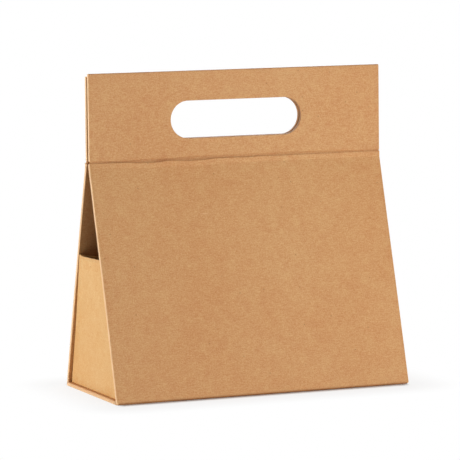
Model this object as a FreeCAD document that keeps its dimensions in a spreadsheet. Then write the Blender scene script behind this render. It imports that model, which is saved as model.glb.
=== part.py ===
import FreeCAD, Part
import Sketcher
import math
import os

# Carry box: a cover of thick board folded round an open-top tray.
# The cover is a base, two leaning panels and two upright handle flaps with a hand hole.
# Millimetres, +Z up, +X along the folds, +Y from the front panel to the back panel.
# The origin is the centre of the underside, on the surface that the box stands on.

DRIVING_SIZES = {
    # cover
    "box_width": 220.0,
    "base_depth": 102.4,
    "board": 2.6,
    "crease_height": 162.0,
    "flap_gap": 2.0,
    "flap_lean": 0.4,
    "front_flap_height": 61.2,
    "back_flap_height": 59.2,
    "flap_corner": 1.0,
    "fold_clearance": 0.3,
    "edge_round": 0.6,
    # hand hole
    "hole_length": 98.3,
    "hole_height": 25.8,
    "hole_top_margin": 20.6,
    # tray
    "tray_height": 93.4,
    "tray_wall": 1.8,
    "tray_clearance": 0.5,
    "tray_foot_inset": 3.1,
    "tray_rim_inset": 0.2,
    "tray_corner": 1.5,
    "tray_inner_corner": 0.8,
    "tray_rim_round": 0.4,
}

# How near two coordinates are when they are the same
TOUCH = 0.01

# Expressions that several pieces share
AXIS_HEIGHT = "(Sizes.board / 2)"
HINGE_Y = "((Sizes.base_depth - Sizes.board) / 2)"
CREASE_Y = "((Sizes.flap_gap + Sizes.board) / 2)"
LEAN_RUN = f"({HINGE_Y} - {CREASE_Y})"
LEAN_RISE = f"(Sizes.crease_height - {AXIS_HEIGHT})"
LEAN = f"atan({LEAN_RUN} / {LEAN_RISE})"
PANEL_LENGTH = f"(sqrt({LEAN_RUN} ^ 2 + {LEAN_RISE} ^ 2) - {AXIS_HEIGHT} - Sizes.fold_clearance)"


def inner_depth(height, clearance):
    """Half depth between the leaning panels at a height, less a clearance square to their inner faces."""
    sideways = f"({height} - {AXIS_HEIGHT}) * {LEAN_RUN} / {LEAN_RISE}"
    square_to_face = f"({AXIS_HEIGHT} + {clearance}) / cos({LEAN})"
    return f"({HINGE_Y} - {sideways} - {square_to_face})"


def make_sheet(doc):
    """The spreadsheet of driving sizes, one alias for each."""
    sheet = doc.addObject("Spreadsheet::Sheet", "Sizes")
    for row, (name, value) in enumerate(DRIVING_SIZES.items(), start=1):
        sheet.set(f"A{row}", name)
        sheet.set(f"B{row}", str(value))
        sheet.setAlias(f"B{row}", name)
    doc.recompute()
    return sheet


def make_body(doc, label):
    """An empty body whose label names its file."""
    body = doc.addObject("PartDesign::Body", label)
    body.Label = label
    return body


def origin_plane(body, role):
    """One of the body's own origin planes."""
    return next(plane for plane in body.Origin.OriginFeatures if plane.Role == role)


def attach_sketch(body, name, role):
    """A new sketch on one of the body's own origin planes."""
    sketch = body.newObject("Sketcher::SketchObject", name)
    sketch.AttachmentSupport = [(origin_plane(body, role), "")]
    sketch.MapMode = "FlatFace"
    return sketch


def bind_distance(sketch, constraint, name, expression):
    """Adds a named distance or radius to the sketch and ties it to an expression."""
    index = sketch.addConstraint(constraint)
    sketch.renameConstraint(index, name)
    sketch.setExpression(f"Constraints.{name}", expression)


def trapezoid_sketch(body, half_foot, half_top, height):
    """An upright section that stands on the sketch's X axis and is symmetric about its Y axis."""
    sketch = attach_sketch(body, "Section", "YZ_Plane")
    corners = [(-40, 0), (40, 0), (38, 3), (-38, 3)]
    for start, end in zip(corners, corners[1:] + corners[:1]):
        sketch.addGeometry(Part.LineSegment(FreeCAD.Vector(*start, 0), FreeCAD.Vector(*end, 0)))
    for side in range(4):
        sketch.addConstraint(Sketcher.Constraint("Coincident", side, 2, (side + 1) % 4, 1))
    sketch.addConstraint(Sketcher.Constraint("Symmetric", 0, 1, 0, 2, -2))
    sketch.addConstraint(Sketcher.Constraint("Symmetric", 2, 2, 2, 1, -2))
    sketch.addConstraint(Sketcher.Constraint("PointOnObject", 0, 1, -1))
    bind_distance(sketch, Sketcher.Constraint("DistanceX", -1, 1, 0, 2, 40), "half_foot", half_foot)
    bind_distance(sketch, Sketcher.Constraint("DistanceX", -1, 1, 1, 2, 38), "half_top", half_top)
    bind_distance(sketch, Sketcher.Constraint("DistanceY", -1, 1, 1, 2, 3), "height", height)
    return sketch


def pad_both_ways(body, sketch, length):
    """Extrudes a sketch to both sides of its plane."""
    pad = body.newObject("PartDesign::Pad", "Pad")
    pad.Profile = sketch
    pad.SideType = "Symmetric"
    pad.setExpression("Length", length)
    return pad


def corner_box(shape):
    """The box round the corners of an edge or a face."""
    points = [vertex.Point for vertex in shape.Vertexes]
    box = FreeCAD.BoundBox(*points[0], *points[0])
    for point in points[1:]:
        box.add(point)
    return box


def round_edges(body, name, radius, wanted):
    """Rounds those edges of the body's last feature that the test picks."""
    body.Document.recompute()
    carrier = body.Tip
    edges = []
    for index, edge in enumerate(carrier.Shape.Edges, start=1):
        if wanted(corner_box(edge)):
            edges.append(f"Edge{index}")
    fillet = body.newObject("PartDesign::Fillet", name)
    fillet.Base = (carrier, edges)
    fillet.setExpression("Radius", radius)
    body.Document.recompute()
    return fillet


def board_sketch(body, height):
    """Section of a hinged board: a half-round foot about the fold's axis and a square top."""
    sketch = attach_sketch(body, "Section", "YZ_Plane")
    foot = Part.Circle(FreeCAD.Vector(0, 0, 0), FreeCAD.Vector(0, 0, 1), 2)
    sketch.addGeometry(Part.ArcOfCircle(foot, math.pi, 2 * math.pi))
    sketch.addGeometry(Part.LineSegment(FreeCAD.Vector(2, 0, 0), FreeCAD.Vector(2, 20, 0)))
    sketch.addGeometry(Part.LineSegment(FreeCAD.Vector(2, 20, 0), FreeCAD.Vector(-2, 20, 0)))
    sketch.addGeometry(Part.LineSegment(FreeCAD.Vector(-2, 20, 0), FreeCAD.Vector(-2, 0, 0)))
    sketch.addConstraint(Sketcher.Constraint("Coincident", 0, 3, -1, 1))
    sketch.addConstraint(Sketcher.Constraint("Tangent", 0, 2, 1, 1))
    sketch.addConstraint(Sketcher.Constraint("Coincident", 1, 2, 2, 1))
    sketch.addConstraint(Sketcher.Constraint("Coincident", 2, 2, 3, 1))
    sketch.addConstraint(Sketcher.Constraint("Tangent", 3, 2, 0, 1))
    sketch.addConstraint(Sketcher.Constraint("Vertical", 1))
    sketch.addConstraint(Sketcher.Constraint("Vertical", 3))
    sketch.addConstraint(Sketcher.Constraint("Horizontal", 2))
    bind_distance(sketch, Sketcher.Constraint("Radius", 0, 2), "foot_radius", AXIS_HEIGHT)
    bind_distance(sketch, Sketcher.Constraint("DistanceY", -1, 1, 1, 2, 20), "top", height)
    return sketch


def hinged_board(doc, label, height):
    """A board that stands on its fold's axis, which is the X axis of its own frame."""
    body = make_body(doc, label)
    pad_both_ways(body, board_sketch(body, height), "Sizes.box_width")
    doc.recompute()
    return body


def stand_board(body, side, fold_y, fold_z, lean):
    """Puts a board on its fold, leaning inwards. The side is -1 at the front and 1 at the back."""
    body.Placement = FreeCAD.Placement(FreeCAD.Vector(0, 0, 0), FreeCAD.Rotation(FreeCAD.Vector(side, 0, 0), 1))
    body.setExpression("Placement.Base.y", f"{side} * {fold_y}")
    body.setExpression("Placement.Base.z", fold_z)
    body.setExpression("Placement.Rotation.Angle", lean)


def round_outline(body, sheet, hole_half_length):
    """Softens a board's outline on both faces, but not the hand hole inside it."""
    half_board = sheet.board / 2

    def is_outline(box):
        on_face = box.YLength < TOUCH and abs(abs(box.Center.y) - half_board) < TOUCH
        on_hole = max(abs(box.XMin), abs(box.XMax)) < hole_half_length + TOUCH
        along_foot = box.ZMax < TOUCH
        return on_face and not on_hole and not along_foot
    return round_edges(body, "SoftOutline", "Sizes.edge_round", is_outline)


def base_panel(doc):
    """The base: a flat board whose long ends are mitred parallel to the leaning panels."""
    body = make_body(doc, "base_panel")
    underside = inner_depth("0", "Sizes.fold_clearance")
    top = inner_depth("Sizes.board", "Sizes.fold_clearance")
    pad_both_ways(body, trapezoid_sketch(body, underside, top, "Sizes.board"), "Sizes.box_width")
    sheet = doc.Sizes

    def is_long_end_edge(box):
        return box.XLength < TOUCH and box.YLength > sheet.board
    round_edges(body, "SoftEnds", "Sizes.edge_round", is_long_end_edge)
    return body


def leaning_panel(doc, label, side):
    """A large panel that leans inwards from the base's edge to the crease under its handle flap."""
    body = hinged_board(doc, label, PANEL_LENGTH)
    round_outline(body, doc.Sizes, 0)
    stand_board(body, side, HINGE_Y, AXIS_HEIGHT, LEAN)
    return body


def hand_hole_sketch(body, flap_height):
    """A stadium with full round ends, measured down from the flap's top edge."""
    sketch = attach_sketch(body, "HandHole", "XZ_Plane")
    right = Part.Circle(FreeCAD.Vector(30, 30, 0), FreeCAD.Vector(0, 0, 1), 10)
    left = Part.Circle(FreeCAD.Vector(-30, 30, 0), FreeCAD.Vector(0, 0, 1), 10)
    sketch.addGeometry(Part.ArcOfCircle(right, -math.pi / 2, math.pi / 2))
    sketch.addGeometry(Part.LineSegment(FreeCAD.Vector(30, 40, 0), FreeCAD.Vector(-30, 40, 0)))
    sketch.addGeometry(Part.ArcOfCircle(left, math.pi / 2, 3 * math.pi / 2))
    sketch.addGeometry(Part.LineSegment(FreeCAD.Vector(-30, 20, 0), FreeCAD.Vector(30, 20, 0)))
    for piece in range(4):
        sketch.addConstraint(Sketcher.Constraint("Tangent", piece, 2, (piece + 1) % 4, 1))
    sketch.addConstraint(Sketcher.Constraint("Symmetric", 0, 3, 2, 3, -2))
    sketch.addConstraint(Sketcher.Constraint("Horizontal", 1))
    centre_height = f"{flap_height} - Sizes.hole_top_margin - Sizes.hole_height / 2"
    half_straight = "(Sizes.hole_length - Sizes.hole_height) / 2"
    bind_distance(sketch, Sketcher.Constraint("Radius", 0, 10), "end_radius", "Sizes.hole_height / 2")
    bind_distance(sketch, Sketcher.Constraint("DistanceX", -1, 1, 0, 3, 30), "half_straight", half_straight)
    bind_distance(sketch, Sketcher.Constraint("DistanceY", -1, 1, 0, 3, 30), "centre_height", centre_height)
    return sketch


def handle_flap(doc, label, side, flap_height):
    """An upright handle flap, hinged at the crease, with the hand hole through it."""
    body = hinged_board(doc, label, flap_height)
    hole = body.newObject("PartDesign::Pocket", "HandHoleCut")
    hole.Profile = hand_hole_sketch(body, flap_height)
    hole.SideType = "Symmetric"
    hole.Type = "Length"
    hole.setExpression("Length", "Sizes.board * 3")
    doc.recompute()
    sheet = doc.Sizes

    def is_top_corner(box):
        return box.XLength < TOUCH and box.ZLength < TOUCH and box.ZMin > sheet.board
    round_edges(body, "TopCorners", "Sizes.flap_corner", is_top_corner)
    round_outline(body, sheet, sheet.hole_length / 2)
    stand_board(body, side, CREASE_Y, "Sizes.crease_height", "Sizes.flap_lean")
    return body


def add_wedge(body, kind, name, levels):
    """An upright block with flat leaning sides. Levels are its lower and upper (height, half x, half y)."""
    (low, low_x, low_y), (high, high_x, high_y) = levels
    wedge = body.newObject(f"PartDesign::{kind}", name)
    wedge.AttachmentSupport = [(origin_plane(body, "XZ_Plane"), "")]
    wedge.MapMode = "FlatFace"
    wedge.setExpression("Ymin", low)
    wedge.setExpression("Ymax", high)
    spans = {"X": low_x, "Z": low_y, "X2": high_x, "Z2": high_y}
    for side, half in spans.items():
        wedge.setExpression(f"{side}min", f"-1 * {half}")
        wedge.setExpression(f"{side}max", half)
    body.Document.recompute()
    return wedge


def inner_tray(doc):
    """The open tray: its long walls lean in with the panels and its end walls lean out to the cover's ends."""
    body = make_body(doc, "inner_tray")
    foot_x = "(Sizes.box_width / 2 - Sizes.tray_foot_inset)"
    rim_x = "(Sizes.box_width / 2 - Sizes.tray_rim_inset)"
    foot_y = inner_depth("Sizes.board", "Sizes.tray_clearance")
    rim_y = inner_depth("(Sizes.board + Sizes.tray_height)", "Sizes.tray_clearance")
    end_wall = f"(Sizes.tray_wall * sqrt(1 + (({rim_x} - {foot_x}) / Sizes.tray_height) ^ 2))"
    long_wall = f"(Sizes.tray_wall / cos({LEAN}))"
    rise = "(Sizes.tray_wall / Sizes.tray_height)"
    floor_x = f"({foot_x} + ({rim_x} - {foot_x}) * {rise} - {end_wall})"
    floor_y = f"({foot_y} + ({rim_y} - {foot_y}) * {rise} - {long_wall})"
    outside = [("0", foot_x, foot_y), ("Sizes.tray_height", rim_x, rim_y)]
    mouth = ("Sizes.tray_height", f"({rim_x} - {end_wall})", f"({rim_y} - {long_wall})")
    inside = [("Sizes.tray_wall", floor_x, floor_y), mouth]
    add_wedge(body, "AdditiveWedge", "Outside", outside)
    add_wedge(body, "SubtractiveWedge", "Inside", inside)
    sheet = doc.Sizes

    def is_inner_corner(box):
        return box.ZMin > TOUCH and box.ZLength > sheet.tray_height / 2
    round_edges(body, "InnerFolds", "Sizes.tray_inner_corner", is_inner_corner)

    def is_outer_fold(box):
        return box.ZMin < TOUCH
    round_edges(body, "OuterFolds", "Sizes.tray_corner", is_outer_fold)

    def is_rim(box):
        return box.ZMin > sheet.tray_height - TOUCH
    round_edges(body, "SoftRim", "Sizes.tray_rim_round", is_rim)
    body.setExpression("Placement.Base.z", "Sizes.board")
    return body


def check(doc, parts):
    """Stops if any object failed or any sub-part has no valid solid."""
    for item in doc.Objects:
        if "Invalid" in item.State or "Error" in item.State:
            raise RuntimeError(f"{item.Name} failed: {item.State}")
    for body in parts:
        shape = body.Shape
        if shape.isNull() or not shape.isValid() or len(shape.Solids) != 1:
            raise RuntimeError(f"{body.Label} is not one valid solid")


def write_steps(parts):
    """Writes each sub-part to its own STEP file."""
    os.makedirs("parts", exist_ok=True)
    for body in parts:
        body.Shape.exportStep(os.path.join("parts", f"{body.Label}.step"))
        box = body.Shape.optimalBoundingBox(False)
        print(f"{body.Label}: volume {body.Shape.Volume:.0f} mm3, "
              f"x {box.XMin:.2f} to {box.XMax:.2f}, y {box.YMin:.2f} to {box.YMax:.2f}, "
              f"z {box.ZMin:.2f} to {box.ZMax:.2f}")


def main():
    doc = FreeCAD.newDocument("carry_box")
    make_sheet(doc)
    parts = [
        base_panel(doc),
        inner_tray(doc),
        leaning_panel(doc, "front_panel", -1),
        leaning_panel(doc, "back_panel", 1),
        handle_flap(doc, "front_handle_flap", -1, "Sizes.front_flap_height"),
        handle_flap(doc, "back_handle_flap", 1, "Sizes.back_flap_height"),
    ]
    doc.recompute()
    check(doc, parts)
    write_steps(parts)


main()
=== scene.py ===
# %% [markdown]
# # Dressing a kraft carry box
#
# The object is a box like the ones that hold a gift or a set of jars: a cover of thick board, wrapped in brown
# kraft paper, is folded round an open tray. Its two long panels lean in, and above them two handle flaps stand
# upright with a hand hole cut through both.
#
# The solids made for the workshop already have the right sizes. They are crisp and clean, and the real box is not:
# paper goes round every edge in a soft curve, the crease under the handle is a wobbly groove, and the rim of
# the tray isn't quite level. This lesson builds those soft forms and the paper itself.

# %% Open the solids and measure them
import math

import bmesh
import bpy
from mathutils import Matrix, Vector, noise


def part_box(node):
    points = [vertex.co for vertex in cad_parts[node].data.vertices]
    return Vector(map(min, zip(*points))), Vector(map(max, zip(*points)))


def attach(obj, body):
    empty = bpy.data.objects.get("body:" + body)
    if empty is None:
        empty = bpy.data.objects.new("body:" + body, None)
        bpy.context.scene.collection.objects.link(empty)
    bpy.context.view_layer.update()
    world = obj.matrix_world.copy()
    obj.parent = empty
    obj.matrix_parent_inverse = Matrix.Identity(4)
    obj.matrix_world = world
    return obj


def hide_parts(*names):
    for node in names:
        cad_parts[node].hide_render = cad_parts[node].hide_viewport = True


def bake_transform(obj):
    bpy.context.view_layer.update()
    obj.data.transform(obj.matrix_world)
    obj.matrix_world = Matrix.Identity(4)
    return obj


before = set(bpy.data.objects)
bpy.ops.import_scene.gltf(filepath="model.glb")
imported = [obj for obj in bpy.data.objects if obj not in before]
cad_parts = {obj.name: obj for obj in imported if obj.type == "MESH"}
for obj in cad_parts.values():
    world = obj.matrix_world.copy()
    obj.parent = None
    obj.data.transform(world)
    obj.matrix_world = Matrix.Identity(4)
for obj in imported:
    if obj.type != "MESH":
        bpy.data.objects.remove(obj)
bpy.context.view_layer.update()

# %% [markdown]
# ## One list of sizes
#
# Blender works in metres, and paper is measured in tenths of a millimetre. A name for one millimetre keeps the
# numbers readable. The hinge lines are where the solids turn: a panel turns about the edge of the base, and a
# handle flap about the crease. Everything that follows is placed from these lines. The heights of a board and of
# its hole are measured along the board, from its own line.

# %% Sizes
MM = 0.001
BOARD = 2.6 * MM
HALF_BOARD = BOARD / 2
HALF_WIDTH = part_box("base_panel")[1].x
HINGE = Vector((0, -49.9 * MM, HALF_BOARD))
CREASE = Vector((0, -2.3 * MM, 162 * MM))
LEAN = math.atan2(CREASE.y - HINGE.y, CREASE.z - HINGE.z)
FLAP_LEAN = math.radians(0.4)
PANEL_TOP = 166.0 * MM
FRONT_FLAP_TOP = 61.2 * MM
BACK_FLAP_TOP = 59.2 * MM
HOLE_RADIUS = 13.1 * MM
HOLE_STRAIGHT = 36.25 * MM
HOLE_OVER_CREASE = 27.3 * MM
print("lean of a panel, degrees:", round(math.degrees(LEAN), 2))


# %% [markdown]
# ## Small irregularities
#
# Nothing made of paper is straight. A smooth noise, read at the place of each vertex, bends it by a few tenths
# of a millimetre. Noise is better than random numbers here: neighbours move together, as they do in a sheet, and
# the result is the same each time the script runs.

# %% Helpers for soft forms
def wave(x, z, length, seed):
    """Smooth noise from about -0.7 to 0.7 that changes over the given length."""
    return noise.noise(Vector((x / length, seed * 7.31, z / length)))


def smooth(low, high, value):
    """0 below low, 1 above high, and a soft S between them."""
    t = min(max((value - low) / (high - low), 0), 1)
    return t * t * (3 - 2 * t)


def through(points, x):
    """The height of a soft line through a few (x, height) points."""
    if x <= points[0][0]:
        return points[0][1]
    for (x0, h0), (x1, h1) in zip(points, points[1:]):
        if x <= x1:
            return h0 + (h1 - h0) * smooth(x0, x1, x)
    return points[-1][1]


def finish_mesh(bm, name):
    """Turns the bmesh into a smooth-shaded object at the origin."""
    bmesh.ops.remove_doubles(bm, verts=bm.verts, dist=0.001 * MM)
    bmesh.ops.recalc_face_normals(bm, faces=bm.faces)
    for face in bm.faces:
        face.smooth = True
    mesh = bpy.data.meshes.new(name)
    bm.to_mesh(mesh)
    bm.free()
    thing = bpy.data.objects.new(name, mesh)
    bpy.context.scene.collection.objects.link(thing)
    return thing


# %% [markdown]
# ## A wrapped board
#
# On the real box each part of the cover is a board 2.6 mm thick with paper pulled round its edges. The paper makes
# the edge round, and the corner of the sheet is a little round as well.
#
# It could be a box with a bevel, but a bevel gives the same round everywhere and knows nothing of a hand hole. Here
# a flat sheet is cut into strips that get narrower towards its outline. Then each vertex asks how far it is from
# the outline, and the sheet thins out there like a quarter circle. The hole is punched through, so its edge is
# sharper than the others.
#
# The same distance is kept as an attribute for the material. At the ends of a board the paper is pale, partly rubbed
# and partly a painted highlight; at a panel's foot, along a handle's top edge and round its hole it gets painted
# shade.

# %% The outline of a board and the distance to it
EDGE_ROUND = 0.42 * MM
HOLE_SHARPER = 2.2
CORNER = 0.6 * MM
ROUND_STEPS = [EDGE_ROUND * (1 - math.cos(math.radians(a))) for a in (22.5, 45, 67.5, 90)]
SUPPORT_STEPS = ROUND_STEPS + [0.9 * MM, 1.8 * MM]
# How far in from the outline the pale ends and the painted shade reach.
PALE_REACH = 1.8 * MM
DARK_REACH = 1.5 * MM
# How strong the painted shade is at a panel's foot, along a handle flap's top edge and on the wall of its hole.
FOOT_DARK, FLAP_DARK, HOLE_DARK = 0.9, 0.45, 1.0


def from_outline(x, z, low, high, hole, foot):
    """Distances from the sheet's ends and from its other edges, and the place, moved onto a round corner."""
    centre_z, half_z = (low + high) / 2, (high - low) / 2
    radius = foot if z < centre_z else CORNER
    over_x = abs(x) - (HALF_WIDTH - radius)
    over_z = abs(z - centre_z) - (half_z - radius)
    to_end, to_edge = radius - over_x, radius - over_z
    if over_x > 0 and over_z > 0:
        reach = math.hypot(over_x, over_z)
        if reach > radius:
            x = math.copysign(HALF_WIDTH - radius + over_x / reach * radius, x)
            z = centre_z + math.copysign(half_z - radius + over_z / reach * radius, z - centre_z)
        to_end = max(radius - reach, 0)
    if hole is not None:
        to_hole = math.hypot(max(abs(x) - HOLE_STRAIGHT, 0), z - hole) - HOLE_RADIUS
        to_edge = min(to_edge, to_hole * HOLE_SHARPER)
    return max(to_end, 0), max(to_edge, 0), x, z


def edge_wear_and_painted_light(to_end, to_edge, z, hole):
    """Up to 1 at a board's ends, pale: partly rubbed, partly a painted highlight. Below 0 for painted shade at a
    panel's foot, along a handle flap's top edge and round a hole.
    """
    pale = max(1 - to_end / PALE_REACH, 0)
    if pale > 0:
        return pale
    if hole is not None and to_edge < 0.01 * MM and abs(z - hole) < HOLE_RADIUS + 0.5 * MM:
        return -HOLE_DARK
    at_foot = z < 5 * MM
    dark = max(1 - to_edge / DARK_REACH, 0) if at_foot == (hole is None) else 0
    return -dark * (FOOT_DARK if at_foot else FLAP_DARK)


print("cuts along an edge, mm:", [round(s / MM, 2) for s in SUPPORT_STEPS])


# %% [markdown]
# The hand hole needs rings of its own. A circle is pulled apart into a slot with two round ends, and extruded
# outward a few times for the rim. The last ring is pushed out to the sheet's outline, and four of its vertices go
# to the corners. A sheet without a hole is a single face before it is cut.

# %% Flat sheets, with or without a hand hole
RING_POINTS = 56
RING_STEPS = [s / HOLE_SHARPER for s in ROUND_STEPS[1:]] + [0.6 * MM, 1.8 * MM, None]


def to_outline(centre, out, low, high):
    """Where a line from the centre of a round end leaves the sheet."""
    reach = (math.copysign(HALF_WIDTH, out.x) - centre.x) / out.x
    if abs(out.z) > 1e-6:
        reach = min(reach, ((high if out.z > 0 else low) - centre.z) / out.z)
    return centre + out * reach


def flat_sheet(bm, low, high, hole):
    """A flat sheet in the XZ plane: one face, or rings of faces round a hand hole."""
    lay_up = Matrix.Rotation(math.pi / 2, 4, "X")
    if hole is None:
        size = Matrix.Diagonal((HALF_WIDTH * 2, (high - low), 1, 1))
        place = Matrix.Translation((0, 0, (low + high) / 2)) @ lay_up @ size
        bmesh.ops.create_grid(bm, x_segments=1, y_segments=1, size=0.5, matrix=place)
        return
    turn = Matrix.Rotation(math.radians(360 / RING_POINTS / 2), 4, "Z")
    ring = bmesh.ops.create_circle(bm, segments=RING_POINTS, radius=HOLE_RADIUS, matrix=lay_up @ turn)["verts"]
    for v in ring:
        v.co = Vector((v.co.x + math.copysign(HOLE_STRAIGHT, v.co.x), 0, v.co.z + hole))
    edges = bm.edges[:]
    done = 0
    for step in RING_STEPS:
        grown = bmesh.ops.extrude_edge_only(bm, edges=edges)["geom"]
        edges = [g for g in grown if isinstance(g, bmesh.types.BMEdge)]
        ring = [g for g in grown if isinstance(g, bmesh.types.BMVert)]
        for v in ring:
            centre = Vector((math.copysign(HOLE_STRAIGHT, v.co.x), 0, hole))
            out = (v.co - centre).normalized()
            v.co = to_outline(centre, out, low, high) if step is None else v.co + out * (step - done)
        done = step
    for x in (-HALF_WIDTH, HALF_WIDTH):
        for z in (low, high):
            corner = Vector((x, 0, z))
            min(ring, key=lambda v: (v.co - corner).length).co = corner


def cut_sheet(bm, across, along):
    """Cuts the sheet along lines of constant x and z. A vertex closer than dist to a line counts as on it."""
    cuts = [((x, 0, 0), (1, 0, 0)) for x in across] + [((0, 0, z), (0, 0, 1)) for z in along]
    for place, normal in cuts:
        geometry = bm.verts[:] + bm.edges[:] + bm.faces[:]
        bmesh.ops.bisect_plane(bm, geom=geometry, dist=0.03 * MM, plane_co=place, plane_no=normal)


def steps(start, stop, length):
    """Evenly spaced values between two ends, without the ends."""
    count = max(1, round((stop - start) / length))
    return [start + (stop - start) * i / count for i in range(1, count)]


# %% From a flat sheet to a board
def wrapped_board(name, low, high, hole, foot, across, along, shape):
    """A board with paper-round edges, in its own frame, with z along the board. shape(x, y, z, outer) bends it."""
    bm = bmesh.new()
    wear_and_painted_light = bm.verts.layers.float.new("wear_and_painted_light")
    flat_sheet(bm, low, high, hole)
    sides = [HALF_WIDTH - s for s in SUPPORT_STEPS]
    ends = [low + s for s in SUPPORT_STEPS] + [high - s for s in SUPPORT_STEPS]
    cut_sheet(bm, sorted(set(across + sides + [-s for s in sides])), sorted(set(along + ends)))
    front_verts = bm.verts[:]
    grown = bmesh.ops.extrude_face_region(bm, geom=bm.faces[:], use_keep_orig=True)["geom"]
    back_verts = [g for g in grown if isinstance(g, bmesh.types.BMVert)]
    for verts, side in ((front_verts, -1), (back_verts, 1)):
        for v in verts:
            to_end, to_edge, x, z = from_outline(v.co.x, v.co.z, low, high, hole, foot)
            inward = EDGE_ROUND - min(to_end, to_edge, EDGE_ROUND)
            thick = HALF_BOARD - EDGE_ROUND + math.sqrt(max(EDGE_ROUND**2 - inward**2, 0))
            # Pale ends, partly rubbed and partly a painted highlight, and painted shade at a panel's foot, a handle's
            # top edge and round its hole.
            v[wear_and_painted_light] = edge_wear_and_painted_light(to_end, to_edge, z, hole)
            v.co = Vector(shape(x, side * thick, z, side < 0))
    return finish_mesh(bm, name)


# %% [markdown]
# ## The four boards of the cover
#
# In the photo the groove under the handle is widest in the middle. On the left it is thin, and on the right it
# fades out. Its upper lip, the flap's lower edge, rises a little towards the middle. Its lower lip wanders, because
# there the paper is pushed up and outward when the panel is folded: for about 4 mm below the groove it stands
# upright instead of leaning, and catches more light. Both lips are written down as a few heights along the crease.
# At the ends they keep their distance, or they would cut into each other when a handle flap is folded out.

# %% The lips of the crease
FLAP_LIP = [(-110, 0.65), (-100, 0.5), (-85, 0.35), (-50, 0.8), (-20, 1.25), (26, 1.1), (45, 1.45), (80, 0.95),
            (100, 0.55), (110, 0.5)]
PANEL_LIP = [(-110, -0.05), (-107, -0.1), (-95, -0.25), (-84, -0.4), (-76, -0.95), (-60, -1.2), (-53, -0.4),
             (-47, -0.45), (-38, -1.1), (-26, -0.85), (-16, -0.25), (-4, -0.1), (8, -0.4), (18, 0.1), (32, -0.2),
             (46, 0.0), (62, -0.2), (80, -0.1), (95, -0.25), (110, -0.3)]
BULGE = [(-110, 0.25), (-98, 0.45), (-85, 0.85), (-60, 1.0), (20, 0.95), (90, 1.0), (110, 1.0)]
LIP_RISE = 0.75 * MM
UPRIGHT_LIP = 4.2 * MM
LIP_FILL = 0.85
PANEL_WARP, FLAP_WARP = 0.28 * MM, 0.10 * MM
WIDER_LEFT, WIDER_RIGHT, WIDER_FLAP = 0.0036, -0.002, 1.0018
NARROW_FOOT = 0.005


def lip_height(points, x, mirrored):
    """Height of a lip over the crease line, in metres. The back of the box has the same line turned round."""
    return through(points, (-x if mirrored else x) / MM) * MM


def fill_lip(x, y, to_lip, mirrored):
    """Towards the right the crease was hardly pressed, so its lips lose their round and the groove fades out."""
    fade = smooth(55, 100, (-x if mirrored else x) / MM) * (1 - smooth(0, 0.8 * MM, to_lip))
    return y + (-HALF_BOARD - y) * LIP_FILL * fade


def panel_shape(mirrored):
    """Bends a panel: a slow warp all over, and a lip that stands up at the crease."""
    seed = 3.7 if mirrored else 1.2

    def shape(x, y, z, outer):
        below = PANEL_TOP - z
        near_top = 1 - smooth(0, 14 * MM, below)
        rise = lip_height(PANEL_LIP, x, mirrored) + LIP_RISE
        z += rise * near_top
        y += PANEL_WARP * wave(x, z, 95 * MM, seed) * smooth(0, 25 * MM, z) * smooth(0, 12 * MM, below)
        if outer:
            y = fill_lip(x, y, below, mirrored)
            stand = max(UPRIGHT_LIP - below, 0) * smooth(0, 2.0 * MM, UPRIGHT_LIP - below)
            amount = through(BULGE, x / MM) + 0.25 * wave(x, z, 11 * MM, seed + 2)
            y -= math.tan(LEAN) * stand * amount
        on_left = (x > 0) == mirrored
        x *= 1 + (WIDER_LEFT if on_left else WIDER_RIGHT) * smooth(60 * MM, 150 * MM, z)
        if on_left and mirrored:
            x *= 1 - NARROW_FOOT * (1 - smooth(0, 70 * MM, z))
        return x, y, z

    return shape


def flap_shape(mirrored):
    """Bends a handle flap: almost flat, with its lower edge following the crease."""
    seed = 5.1 if mirrored else 2.6

    def shape(x, y, z, outer):
        near_foot = 1 - smooth(0, 10 * MM, z)
        if outer:
            y = fill_lip(x, y, z, mirrored)
        z += lip_height(FLAP_LIP, x, mirrored) * near_foot
        y += FLAP_WARP * wave(x, z, 80 * MM, seed) * smooth(0, 15 * MM, z)
        return x * (WIDER_FLAP if x > 0 or mirrored else 1), y, z

    return shape


def stand_up(thing, axis, lean, mirrored):
    """Turns a board made in its own frame onto its fold line. The back ones are turned half round the upright."""
    place = Matrix.Translation(axis) @ Matrix.Rotation(-lean, 4, "X")
    if mirrored:
        place = Matrix.Rotation(math.pi, 4, "Z") @ place
    thing.data.transform(place)
    return thing


# %% Panels and handle flaps
LIP_CUTS = [PANEL_TOP - s * MM for s in (3.0, 3.5, 4.0, 4.6, 5.4, 6.5, 8.0, 10.0, 13.0)]
PANEL_FOOT = -0.9 * MM
SIDES = (("front", False, FRONT_FLAP_TOP, 1.0 * MM), ("back", True, BACK_FLAP_TOP, 3.0 * MM))
boards = {}
for side, mirrored, flap_top, foot in SIDES:
    panel = wrapped_board(
        side + "_panel_board", PANEL_FOOT, PANEL_TOP, None, foot, steps(-HALF_WIDTH, HALF_WIDTH, 2.2 * MM),
        steps(0, PANEL_TOP - 14 * MM, 9 * MM) + LIP_CUTS, panel_shape(mirrored))
    boards[side + "_panel"] = stand_up(panel, HINGE, LEAN, mirrored)
    flap = wrapped_board(
        side + "_flap_board", 0, flap_top, HOLE_OVER_CREASE, CORNER, steps(-HALF_WIDTH, HALF_WIDTH, 3.0 * MM),
        steps(0, flap_top, 5 * MM), flap_shape(mirrored))
    boards[side + "_handle_flap"] = stand_up(flap, CREASE, FLAP_LEAN, mirrored)
for node, board in boards.items():
    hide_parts(node)
    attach(board, node.replace("_flap", "").replace("_panel", "_cover"))
    print(board.name, "faces:", len(board.data.polygons))

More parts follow.
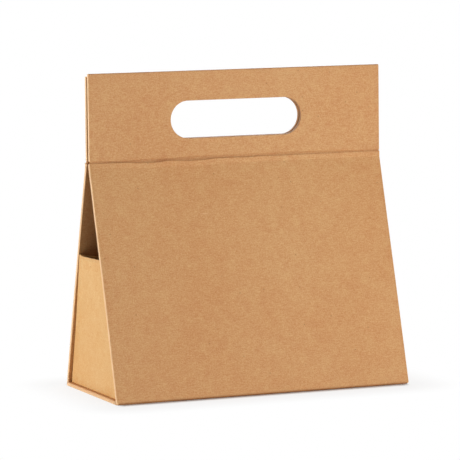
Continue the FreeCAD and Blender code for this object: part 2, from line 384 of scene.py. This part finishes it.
# %% [markdown]
# ## The base board
#
# The base lies flat between the panels. Its two long edges are cut on a slant, so that the leaning panels can stand
# close to them. Its end shows on the left of the photo, under the tray: a light rounded edge, and behind it the
# narrow ledge on which the tray stands.
#
# Here a grid is enough. It is extruded into a second layer, and the two layers get their own depths and the same
# round at their ends as the boards have.

# %% Base board
BASE_HALF_LOW = 48.6 * MM
BASE_HALF_HIGH = 47.85 * MM


def base_board():
    """The base: two layers of one grid, joined by their slanting edges."""
    bm = bmesh.new()
    wear_and_painted_light = bm.verts.layers.float.new("wear_and_painted_light")
    size = Matrix.Diagonal((HALF_WIDTH * 2, 2, 1, 1))
    bmesh.ops.create_grid(bm, x_segments=44, y_segments=20, size=0.5, matrix=size)
    for s in SUPPORT_STEPS:
        for x in (HALF_WIDTH - s, s - HALF_WIDTH):
            geometry = bm.verts[:] + bm.edges[:] + bm.faces[:]
            bmesh.ops.bisect_plane(bm, geom=geometry, dist=0.002 * MM, plane_co=(x, 0, 0), plane_no=(1, 0, 0))
    low_verts = bm.verts[:]
    grown = bmesh.ops.extrude_face_region(bm, geom=bm.faces[:], use_keep_orig=True)["geom"]
    high_verts = [g for g in grown if isinstance(g, bmesh.types.BMVert)]
    for verts, half_depth, side in ((low_verts, BASE_HALF_LOW, -1), (high_verts, BASE_HALF_HIGH, 1)):
        for v in verts:
            distance = HALF_WIDTH - abs(v.co.x)
            inward = EDGE_ROUND - min(distance, EDGE_ROUND)
            thick = HALF_BOARD - EDGE_ROUND + math.sqrt(max(EDGE_ROUND**2 - inward**2, 0))
            # Pale ends on both layers, partly rubbed and partly a painted highlight on the shaded ledge under the
            # tray; the upper layer a little less.
            v[wear_and_painted_light] = max(1 - distance / PALE_REACH, 0) * (0.92 - side * 0.06)
            v.co = Vector((v.co.x, v.co.y * half_depth, HALF_BOARD + side * thick))
    return finish_mesh(bm, "base_board")


base = base_board()
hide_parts("base_panel")
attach(base, "root")
print("base faces:", len(base.data.polygons))

# %% [markdown]
# ## Paper across the folds
#
# Between two boards only paper is left, and that is what bends. At the foot it goes round under the fold like the
# spine of a book. At the crease it lies deep between the two lips. Each strip is a narrow grid, curved along a
# path and given the thickness of two papers. Its long edges run on inside the boards, so no seam shows.

# %% Strips of paper
PAPER = 0.30 * MM


def paper_strip(name, path, depth, dark, mirrored, short=0.15 * MM):
    """A strip along X, through the (y, z) points of path. depth(x) moves its middle inward, dark(x) is the painted
    shade along its middle.
    """
    bm = bmesh.new()
    last = len(path) - 1
    size = Matrix.Diagonal(((HALF_WIDTH - short) * 2, last, 1, 1))
    bmesh.ops.create_grid(bm, x_segments=110, y_segments=last, size=0.5, matrix=size)
    wear_and_painted_light = bm.verts.layers.float.new("wear_and_painted_light")
    for v in bm.verts:
        place = min(max(v.co.y + last / 2, 0), last)
        first = min(int(place), last - 1)
        y, z = Vector(path[first]).lerp(Vector(path[first + 1]), place - first)
        middle = math.sin(math.pi * place / last)
        v.co = Vector((v.co.x, y + depth(v.co.x) * middle, z))
        # Painted shade, strongest along the middle of the strip.
        v[wear_and_painted_light] = -dark(v.co.x) * middle
    bmesh.ops.recalc_face_normals(bm, faces=bm.faces)
    bmesh.ops.solidify(bm, geom=bm.faces[:], thickness=PAPER)
    strip = finish_mesh(bm, name)
    if mirrored:
        strip.data.transform(Matrix.Rotation(math.pi, 4, "Z"))
    return strip


def around_hinge():
    """Path from the underside of the base, round the fold line, up the outside of the panel."""
    radius = HALF_BOARD - 0.01 * MM
    path = [(HINGE.y + 3.4 * MM, 0.30 * MM), (HINGE.y + 1.5 * MM, 0.03 * MM)]
    for i in range(11):
        angle = math.radians(270) - i / 10 * (math.pi / 2 + LEAN)
        path.append((HINGE.y + radius * math.cos(angle), HINGE.z + radius * math.sin(angle)))
    out, up = Vector((-math.cos(LEAN), math.sin(LEAN))), Vector((math.sin(LEAN), math.cos(LEAN)))
    for height, off in ((1.4, 0.0), (3.4, 0.25)):
        point = Vector(HINGE.yz) + out * (radius - off * MM) + up * height * MM
        path.append((point.x, point.y))
    return path


def across_crease():
    """Path from inside the panel's top to inside the flap's foot."""
    up = Vector((math.sin(LEAN), math.cos(LEAN)))
    path = []
    for height in (-3.2, -2.4, -1.7, -1.1, -0.6, -0.2):
        point = Vector(CREASE.yz) + up * height * MM
        path.append((point.x, point.y))
    for height in (0.2, 0.6, 1.0, 1.5, 2.1, 2.8):
        path.append((CREASE.y, CREASE.z + height * MM))
    return path


# %% [markdown]
# The groove is deepest on the left and nearly level with the lips at the right end. Both strips get painted shade: in
# the groove it weakens towards the right, and under the fold at the foot it grows darker away from the left end.

# %% How deep the groove is, and how much shade is painted in the folds
GROOVE = [(-110, 0.10), (-107, 0.55), (-92, 1.0), (-40, 0.95), (20, 0.65), (70, 0.40), (96, 0.25), (106, 0.10),
          (110, 0.05)]


def groove_depth(mirrored):
    """How far behind the flap's face the paper lies in the crease."""

    def depth(x):
        deep = lip_height(GROOVE, x, mirrored)
        return deep - HALF_BOARD + 0.12 * MM * wave(x, 0, 9 * MM, 8.3)

    return depth


def groove_painted_shade(mirrored):
    """Painted shade in the groove, weaker towards the right, where the groove is only a faint line."""

    def dark(x):
        return 0.32 - 0.25 * smooth(-30, 70, (-x if mirrored else x) / MM)

    return dark


def foot_painted_shade(mirrored):
    """Painted shade along the underside of the fold at the foot, weaker near its left end."""

    def dark(x):
        return 0.7 + 0.9 * smooth(-102, -60, (-x if mirrored else x) / MM)

    return dark


# %% Two strips on each side
FOLD_SHORT = 0.9 * MM
for side, mirrored in (("front", False), ("back", True)):
    crease = paper_strip(
        side + "_crease_paper", across_crease(), groove_depth(mirrored), groove_painted_shade(mirrored), mirrored)
    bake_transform(crease)
    foot = paper_strip(
        side + "_fold_paper", around_hinge(), lambda x: 0, foot_painted_shade(mirrored), mirrored, FOLD_SHORT)
    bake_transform(foot)
    boards[side + "_crease"], boards[side + "_fold"] = crease, foot
    print(crease.name, "faces:", len(crease.data.polygons), "and", foot.name, "faces:", len(foot.data.polygons))

# %% [markdown]
# ## The tray
#
# The tray is a separate, lighter piece. Its long walls lean in with the panels, and its end walls lean out a
# little. A cube does for a start: its lower and upper faces are scaled apart, its corners are bevelled, the upper
# face is taken out, and the walls get their thickness from `solidify`.
#
# The rim of the real one isn't quite level, and its end walls sink in a little. Both are done last, by moving
# vertices, so the mesh is cut finely enough before that.

# %% Tray
TRAY_FOOT = Vector((107.2 * MM, 46.5 * MM, 2.61 * MM))
TRAY_RIM = Vector((109.85 * MM, 20.0 * MM, 96.0 * MM))
TRAY_WALL = 1.7 * MM
END_RIM = [(-20, 0.4), (-12, 0.1), (0, -0.2), (10, -0.4), (16, -0.4), (20, 0.5)]
LONG_RIM = -1.3
CORNER_ROUND, FOOT_ROUND, RIM_ROUND = 0.5 * MM, 0.5 * MM, 0.35 * MM
SINK = 0.30 * MM


def in_end_wall(x):
    """Whether a place along X lies in one of the two end walls."""
    return abs(x) > 100 * MM


def rim_height(x, y):
    """How much the rim stands over or under its mean height."""
    end = through(END_RIM, (y if x < 0 else -y) / MM)
    long = 0.5 * wave(x, y, 40 * MM, 6.6) + LONG_RIM
    return (end if in_end_wall(x) else long) * MM


def tray():
    """The tray, from a cube that is opened, cut into small faces and given walls."""
    bm = bmesh.new()
    bmesh.ops.create_cube(bm, size=2)
    for v in bm.verts:
        corner = TRAY_RIM if v.co.z > 0 else TRAY_FOOT
        v.co = Vector((v.co.x * corner.x, v.co.y * corner.y, corner.z))
    upright = [e for e in bm.edges if abs(e.verts[0].co.z - e.verts[1].co.z) > 10 * MM]
    bmesh.ops.bevel(bm, geom=upright, offset=CORNER_ROUND, segments=3, profile=0.5, affect="EDGES", material=-1)
    top = [f for f in bm.faces if all(abs(v.co.z - TRAY_RIM.z) < MM for v in f.verts)]
    bmesh.ops.delete(bm, geom=top, context="FACES_ONLY")
    foot = [e for e in bm.edges if not e.is_boundary and all(abs(v.co.z - TRAY_FOOT.z) < MM for v in e.verts)]
    bmesh.ops.bevel(bm, geom=foot, offset=FOOT_ROUND, segments=2, profile=0.5, affect="EDGES", material=-1)
    rise = TRAY_RIM.z - TRAY_FOOT.z
    levels = [TRAY_FOOT.z + rise * i / 14 for i in range(1, 14)] + [TRAY_RIM.z - 3 * MM, TRAY_RIM.z - 1 * MM]
    cuts = [((0, 0, z), (0, 0, 1)) for z in levels]
    cuts += [((x, 0, 0), (1, 0, 0)) for x in steps(-104 * MM, 104 * MM, 6 * MM)]
    outer_cuts = [s * MM for s in (-44, -38, -32, -26, 26, 32, 38, 44)]
    cuts += [((0, y, 0), (0, 1, 0)) for y in steps(-20 * MM, 20 * MM, 2 * MM) + outer_cuts]
    for place, normal in cuts:
        geometry = bm.verts[:] + bm.edges[:] + bm.faces[:]
        bmesh.ops.bisect_plane(bm, geom=geometry, dist=0.002 * MM, plane_co=place, plane_no=normal)
    bmesh.ops.recalc_face_normals(bm, faces=bm.faces)
    bmesh.ops.solidify(bm, geom=bm.faces[:], thickness=TRAY_WALL)
    bmesh.ops.recalc_face_normals(bm, faces=bm.faces)
    rim = [e for e in bm.edges if min(v.co.z for v in e.verts) > TRAY_RIM.z - 0.6 * MM and e.calc_face_angle(0) > 1]
    bmesh.ops.bevel(bm, geom=rim, offset=RIM_ROUND, segments=2, profile=0.5, affect="EDGES", material=-1)
    wear_and_painted_light = bm.verts.layers.float.new("wear_and_painted_light")
    for v in bm.verts:
        share = (v.co.z - TRAY_FOOT.z) / rise
        at_end = in_end_wall(v.co.x)
        # The top of the end walls is pale, partly rubbed and partly a painted highlight; the material also paints a
        # thin line of shade just below it.
        v[wear_and_painted_light] = 0.8 * at_end * smooth(TRAY_RIM.z - 1.6 * MM, TRAY_RIM.z - 0.2 * MM, v.co.z)
        v.co.z += rim_height(v.co.x, v.co.y) * smooth(0.75, 1.0, share)
        middle = math.sin(math.pi * min(max(share, 0), 1))
        if at_end:
            v.co.x -= math.copysign(SINK * middle * (1 + wave(v.co.y, v.co.z, 30 * MM, 4.4)), v.co.x)
    return finish_mesh(bm, "tray")


tray_piece = tray()
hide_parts("inner_tray")
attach(tray_piece, "root")
print("tray faces:", len(tray_piece.data.polygons))


# %% [markdown]
# ## Kraft paper
#
# Kraft paper is pulp that nobody has bleached. Seen close, its brown is never even: clouds a few centimetres wide, a
# fine mottle of a few millimetres, short fibres lying mostly one way, and now and then a dark speck of bark or a
# pale splinter.
#
# An image texture would repeat and stretch. Layers of noise read from the object's own place don't, and they carry on
# without a seam from one board to the next. A small class makes the shader maths readable: it stands for one
# output of a node, and adding or multiplying two of them adds a Math node.

# %% A socket that can be added and multiplied
class Wire:
    """One output of a shader node. Arithmetic on it makes Math nodes."""

    def __init__(self, tree, socket=None):
        self.tree = tree
        self.socket = socket

    def node(self, kind, settings=None, inputs=None, output=0):
        """Makes a node: its settings first, then what goes into its sockets."""
        made = self.tree.nodes.new("ShaderNode" + kind)
        for name, value in (settings or {}).items():
            setattr(made, name, value)
        for name, value in (inputs or {}).items():
            if isinstance(value, Wire):
                self.tree.links.new(value.socket, made.inputs[name])
            else:
                made.inputs[name].default_value = value
        return Wire(self.tree, made.outputs[output])

    def math(self, operation, first, second):
        return self.node("Math", {"operation": operation}, {0: first, 1: second})

    def __add__(self, other):
        return self.math("ADD", self, other)

    def __radd__(self, other):
        return self.math("ADD", other, self)

    def __sub__(self, other):
        return self.math("SUBTRACT", self, other)

    def __rsub__(self, other):
        return self.math("SUBTRACT", other, self)

    def __mul__(self, other):
        return self.math("MULTIPLY", self, other)

    def __rmul__(self, other):
        return self.math("MULTIPLY", other, self)

    def __gt__(self, other):
        return self.math("GREATER_THAN", self, other)

    def __lt__(self, other):
        return self.math("LESS_THAN", self, other)

    def clamped(self):
        return self.node("Clamp", None, {"Value": self})

    def spread(self, low, high):
        """0 at low, 1 at high, with soft ends."""
        settings = {"interpolation_type": "SMOOTHSTEP"}
        return self.node("MapRange", settings, {"Value": self, "From Min": low, "From Max": high})

    def mix(self, first, second):
        """The first colour where this is 0, the second where it is 1."""
        made = self.tree.nodes.new("ShaderNodeMix")
        made.data_type = "RGBA"
        self.tree.links.new(self.socket, made.inputs[0])
        for place, colour in ((6, first), (7, second)):
            if isinstance(colour, Wire):
                self.tree.links.new(colour.socket, made.inputs[place])
            else:
                made.inputs[place].default_value = (*colour, 1)
        return Wire(self.tree, made.outputs[2])


# %% [markdown]
# The colours below are what the paper gives back in plain white light. Two browns, one darker and redder and one
# lighter and yellower, are mixed by the layers of noise. A third, pale one is for pale splinters, and for the ends of
# the boards and the tray's end rims, where it is partly rubbed paper and partly a painted highlight. A dark one, made
# from the first, is painted shade at the panels' feet, in the folds and the groove, at the handles' top edges and
# holes, and in a thin line beside the pale ends. The grit and the fibres also feed a weak bump, so the paper isn't as
# smooth as plastic in slanting light.

# %% The paper's material
def kraft(name, dark, light, pale_and_highlight, grain, offset, clouds=0.35):
    """Paper with its grain along one axis. grain squeezes the noise's space, so fibres are long where it is small."""
    material = bpy.data.materials.new(name)
    material.use_nodes = True
    tree = material.node_tree
    shader = tree.nodes["Principled BSDF"]
    start = Wire(tree)
    place = start.node("TexCoord", output="Object")
    place = start.node("Mapping", None, {"Vector": place, "Location": offset})
    along = start.node("VectorMath", {"operation": "MULTIPLY"}, {0: place, 1: grain})

    def layer(scale, detail, vector):
        return start.node("TexNoise", None, {"Vector": vector, "Scale": scale, "Detail": detail, "Roughness": 0.55})

    cloud = layer(scale=16, detail=2, vector=place)
    mottle = layer(scale=120, detail=3, vector=place)
    grit = layer(scale=1300, detail=2, vector=place)
    fibre = layer(scale=1900, detail=2, vector=along)
    blend = (cloud - 0.5) * clouds + (mottle - 0.5) * 0.45 + (grit - 0.5) * 1.45 + (fibre - 0.5) * 0.75 + 0.5
    colour = blend.clamped().mix(dark, light)

    def flecks(scale, size, share, vector):
        """Spots in a few of the cells of a cell pattern."""
        cells = {"Vector": vector, "Scale": scale}
        near = start.node("TexVoronoi", None, cells, "Distance")
        chance = start.node("TexVoronoi", None, cells, "Color")
        chosen = start.node("SeparateColor", None, {0: chance}) > 1 - share
        return (1 - near.spread(size * 0.5, size)) * chosen

    bark = flecks(scale=330, size=0.20, share=0.035, vector=place)
    splinter = flecks(scale=200, size=0.13, share=0.04, vector=along)
    colour = (bark * 0.55).mix(colour, tuple(c * 0.5 for c in dark))
    colour = (splinter * 0.3).mix(colour, pale_and_highlight)
    wear_and_painted_light = start.node("Attribute", {"attribute_name": "wear_and_painted_light"}, None, "Fac")
    # Pale paper at the ends of the boards and at the top of the tray's end walls: partly rubbed, partly a painted
    # highlight.
    rubbed_and_highlight = wear_and_painted_light.spread(0.75, 1.0) * (0.60 + mottle * 0.4)
    # A thin line of painted shade just inside those pale edges.
    shade_beside_pale = wear_and_painted_light.spread(0.04, 0.25) * (1 - wear_and_painted_light.spread(0.3, 0.5)) * 0.10
    # Painted shade at the panels' feet, in the folds and the groove, along the handle flaps' top edges and round the
    # hand holes.
    painted_shade = shade_beside_pale + (0 - wear_and_painted_light).spread(0.1, 0.7) * 0.6 + (0 - wear_and_painted_light).spread(1.0, 1.5) * 0.25
    colour = painted_shade.clamped().mix(colour, tuple(c * 0.45 for c in dark))
    colour = rubbed_and_highlight.clamped().mix(colour, pale_and_highlight)
    tree.links.new(colour.socket, shader.inputs["Base Color"])
    rough = 0.60 + (grit - 0.5) * 0.25 + (mottle - 0.5) * 0.15
    tree.links.new(rough.socket, shader.inputs["Roughness"])
    shader.inputs["Specular IOR Level"].default_value = 0.25
    height = grit * 0.5 + fibre * 0.6 + mottle * 0.4
    bump = start.node("Bump", None, {"Height": height, "Strength": 0.3, "Distance": 0.12 * MM})
    tree.links.new(bump.socket, shader.inputs["Normal"])
    return material


# %% Two papers, one for the cover and one for the tray
ACROSS = (0.16, 1.0, 1.0)
UPRIGHT = (1.0, 0.8, 0.2)
# The third colour of each paper is for pale splinters and for pale edges, partly rubbed and partly a painted
# highlight.
COVER_DARK, COVER_LIGHT, COVER_PALE_AND_HIGHLIGHT = (0.520, 0.196, 0.056), (0.690, 0.422, 0.190), (0.79, 0.54, 0.31)
TRAY_DARK, TRAY_LIGHT, TRAY_PALE_AND_HIGHLIGHT = (0.575, 0.244, 0.041), (0.716, 0.500, 0.242), (0.79, 0.53, 0.27)
cover_paper = kraft("cover_kraft", COVER_DARK, COVER_LIGHT, COVER_PALE_AND_HIGHLIGHT, ACROSS, (0.31, 0.17, 0.05))
tray_paper = kraft("tray_kraft", TRAY_DARK, TRAY_LIGHT, TRAY_PALE_AND_HIGHLIGHT, UPRIGHT, (0.77, 0.42, 0.11), clouds=0.25)
for piece in list(boards.values()) + [base]:
    piece.data.materials.append(cover_paper)
tray_piece.data.materials.append(tray_paper)
print("nodes in the cover's paper:", len(cover_paper.node_tree.nodes))

# %% [markdown]
# ## Floor, background and light
#
# The box stands on white and throws almost no shadow, so most of its light is soft. The floor is white paper that
# shows as plain white a few centimetres away from the box. Near the box it keeps a little of its shade, so the box
# doesn't float. The world is a weak even light, and the camera sees it as white.

# %% Floor and world
def seen_directly(start):
    """1 for the rays that show the background: to the camera, through glass and off a polish."""
    rays = [start.node("LightPath", output="Is %s Ray" % kind) for kind in ("Camera", "Glossy", "Transmission")]
    return (rays[0] + rays[1] + rays[2]).clamped()


FOOTPRINT = (0.105, 0.0525, 0)


def floor_material():
    """White paper. Far from the object the camera sees plain white, near it the floor keeps the shadow."""
    material = bpy.data.materials.new("floor")
    material.use_nodes = True
    tree = material.node_tree
    tree.nodes.clear()
    start = Wire(tree)
    place = start.node("TexCoord", output="Object")
    sides = start.node("VectorMath", {"operation": "ABSOLUTE"}, {0: place})
    sides = start.node("VectorMath", {"operation": "SUBTRACT"}, {0: sides, 1: FOOTPRINT})
    sides = start.node("VectorMath", {"operation": "MAXIMUM"}, {0: sides, 1: (0, 0, 0)})
    away = start.node("VectorMath", {"operation": "LENGTH"}, {0: sides}, "Value")
    lift = away.spread(0, 0.006) * 0.83 + away.spread(0.006, 0.045) * 0.17
    seen = seen_directly(start)
    white = start.node("Emission", None, {"Color": (1, 1, 1, 1), "Strength": 1.0})
    paper = start.node("BsdfDiffuse", None, {"Color": (0.92, 0.92, 0.92, 1)})
    out = tree.nodes.new("ShaderNodeOutputMaterial")
    shown = start.node("MixShader", None, {0: lift * seen, 1: paper, 2: white})
    tree.links.new(shown.socket, out.inputs["Surface"])
    return material


bm = bmesh.new()
bmesh.ops.create_grid(bm, x_segments=8, y_segments=8, size=6)
floor = finish_mesh(bm, "floor")
floor.data.materials.append(floor_material())

world = bpy.data.worlds.new("studio")
bpy.context.scene.world = world
world.use_nodes = True
world.node_tree.nodes.clear()
start = Wire(world.node_tree)
SKY = 0.16
light = start.node("Background", None, {"Color": (1, 1, 1, 1), "Strength": SKY})
white = start.node("Background", None, {"Color": (1, 1, 1, 1), "Strength": 1.0})
both = start.node("MixShader", None, {0: seen_directly(start), 1: light, 2: white})
out = world.node_tree.nodes.new("ShaderNodeOutputWorld")
world.node_tree.links.new(both.socket, out.inputs["Surface"])


# %% [markdown]
# ## Lamps
#
# A uniform sky alone would make the box flat, and one hard lamp would throw a shadow that the photo doesn't have.
# The brightest face is the tray's end, so one lamp stands far left, a little behind the box. It is low, because the
# inside over the tray is dark. A large lamp behind the box lights the floor. The front gets its light from two low
# lamps, one of them nearer and on the right, where the cover is a little brighter. The last lamp looks at
# the floor in front, which sends its light up to the foot of the panel. None stands above: the top edges are dark.

# %% Five soft lamps
def lamp(name, place, size, power, aim=(0, 0, 0.1)):
    """A square soft lamp that looks at the box."""
    data = bpy.data.lights.new(name, "AREA")
    data.shape = "SQUARE"
    data.size = size
    data.energy = power
    thing = bpy.data.objects.new(name, data)
    bpy.context.scene.collection.objects.link(thing)
    thing.location = place
    thing.rotation_mode = "QUATERNION"
    thing.rotation_quaternion = (Vector(aim) - Vector(place)).to_track_quat("-Z", "Y")
    return thing


lamp("left_lamp", (-1.3, 0.15, 0.2), size=0.4, power=11.8)
lamp("back_lamp", (0.3, 1.4, 0.5), size=1.2, power=22.8)
lamp("front_lamp", (0.26, -0.70, 0.09), size=0.35, power=2.88)
lamp("low_lamp", (0.0, -1.4, 0.08), size=0.6, power=5.2)
lamp("floor_lamp", (0.2, -1.1, 0.6), size=0.5, power=1.4, aim=(0.0, -0.35, 0))

# %% [markdown]
# ## The camera
#
# The camera stands where the photographer stood: a little to the left, a little above, and far away with a long
# lens, which is why the top edge and the bottom edge are nearly parallel. The numbers come from fitting a camera
# to the straight edges of the photo.

# %% Camera
AZIMUTH, ELEVATION, ROLL = math.radians(22.7576), math.radians(6.1746), math.radians(-0.5305)
DISTANCE = 2330.5 * MM
MIDDLE = Vector((0, 0, 110 * MM))
ASIDE, BELOW = 3.907, 0.203
SENSOR, LENS = 36, 259.37
level = math.cos(ELEVATION)
back = Vector((-math.sin(AZIMUTH) * level, -math.cos(AZIMUTH) * level, math.sin(ELEVATION)))
right = Vector((math.cos(AZIMUTH), -math.sin(AZIMUTH), 0))
up = back.cross(right).normalized()
right, up = right * math.cos(ROLL) + up * math.sin(ROLL), up * math.cos(ROLL) - right * math.sin(ROLL)
eye = MIDDLE + back * DISTANCE
aim = MIDDLE - right * ASIDE * MM - up * BELOW * MM
back = (eye - aim).normalized()
right = up.cross(back).normalized()
up = back.cross(right)
camera = bpy.data.objects.new("camera", bpy.data.cameras.new("camera"))
bpy.context.scene.collection.objects.link(camera)
camera.data.sensor_width = SENSOR
camera.data.lens = LENS
camera.data.clip_end = 20
camera.matrix_world = Matrix.Translation(eye) @ Matrix((right, up, back)).transposed().to_4x4()
bpy.context.scene.camera = camera
bpy.context.scene.view_settings.view_transform = "Standard"
print("camera at, mm:", [round(c / MM) for c in eye])

# %% [markdown]
# ## The end
#
# The last cell brings the scene up to date.

# %% Finish
bpy.context.view_layer.update()
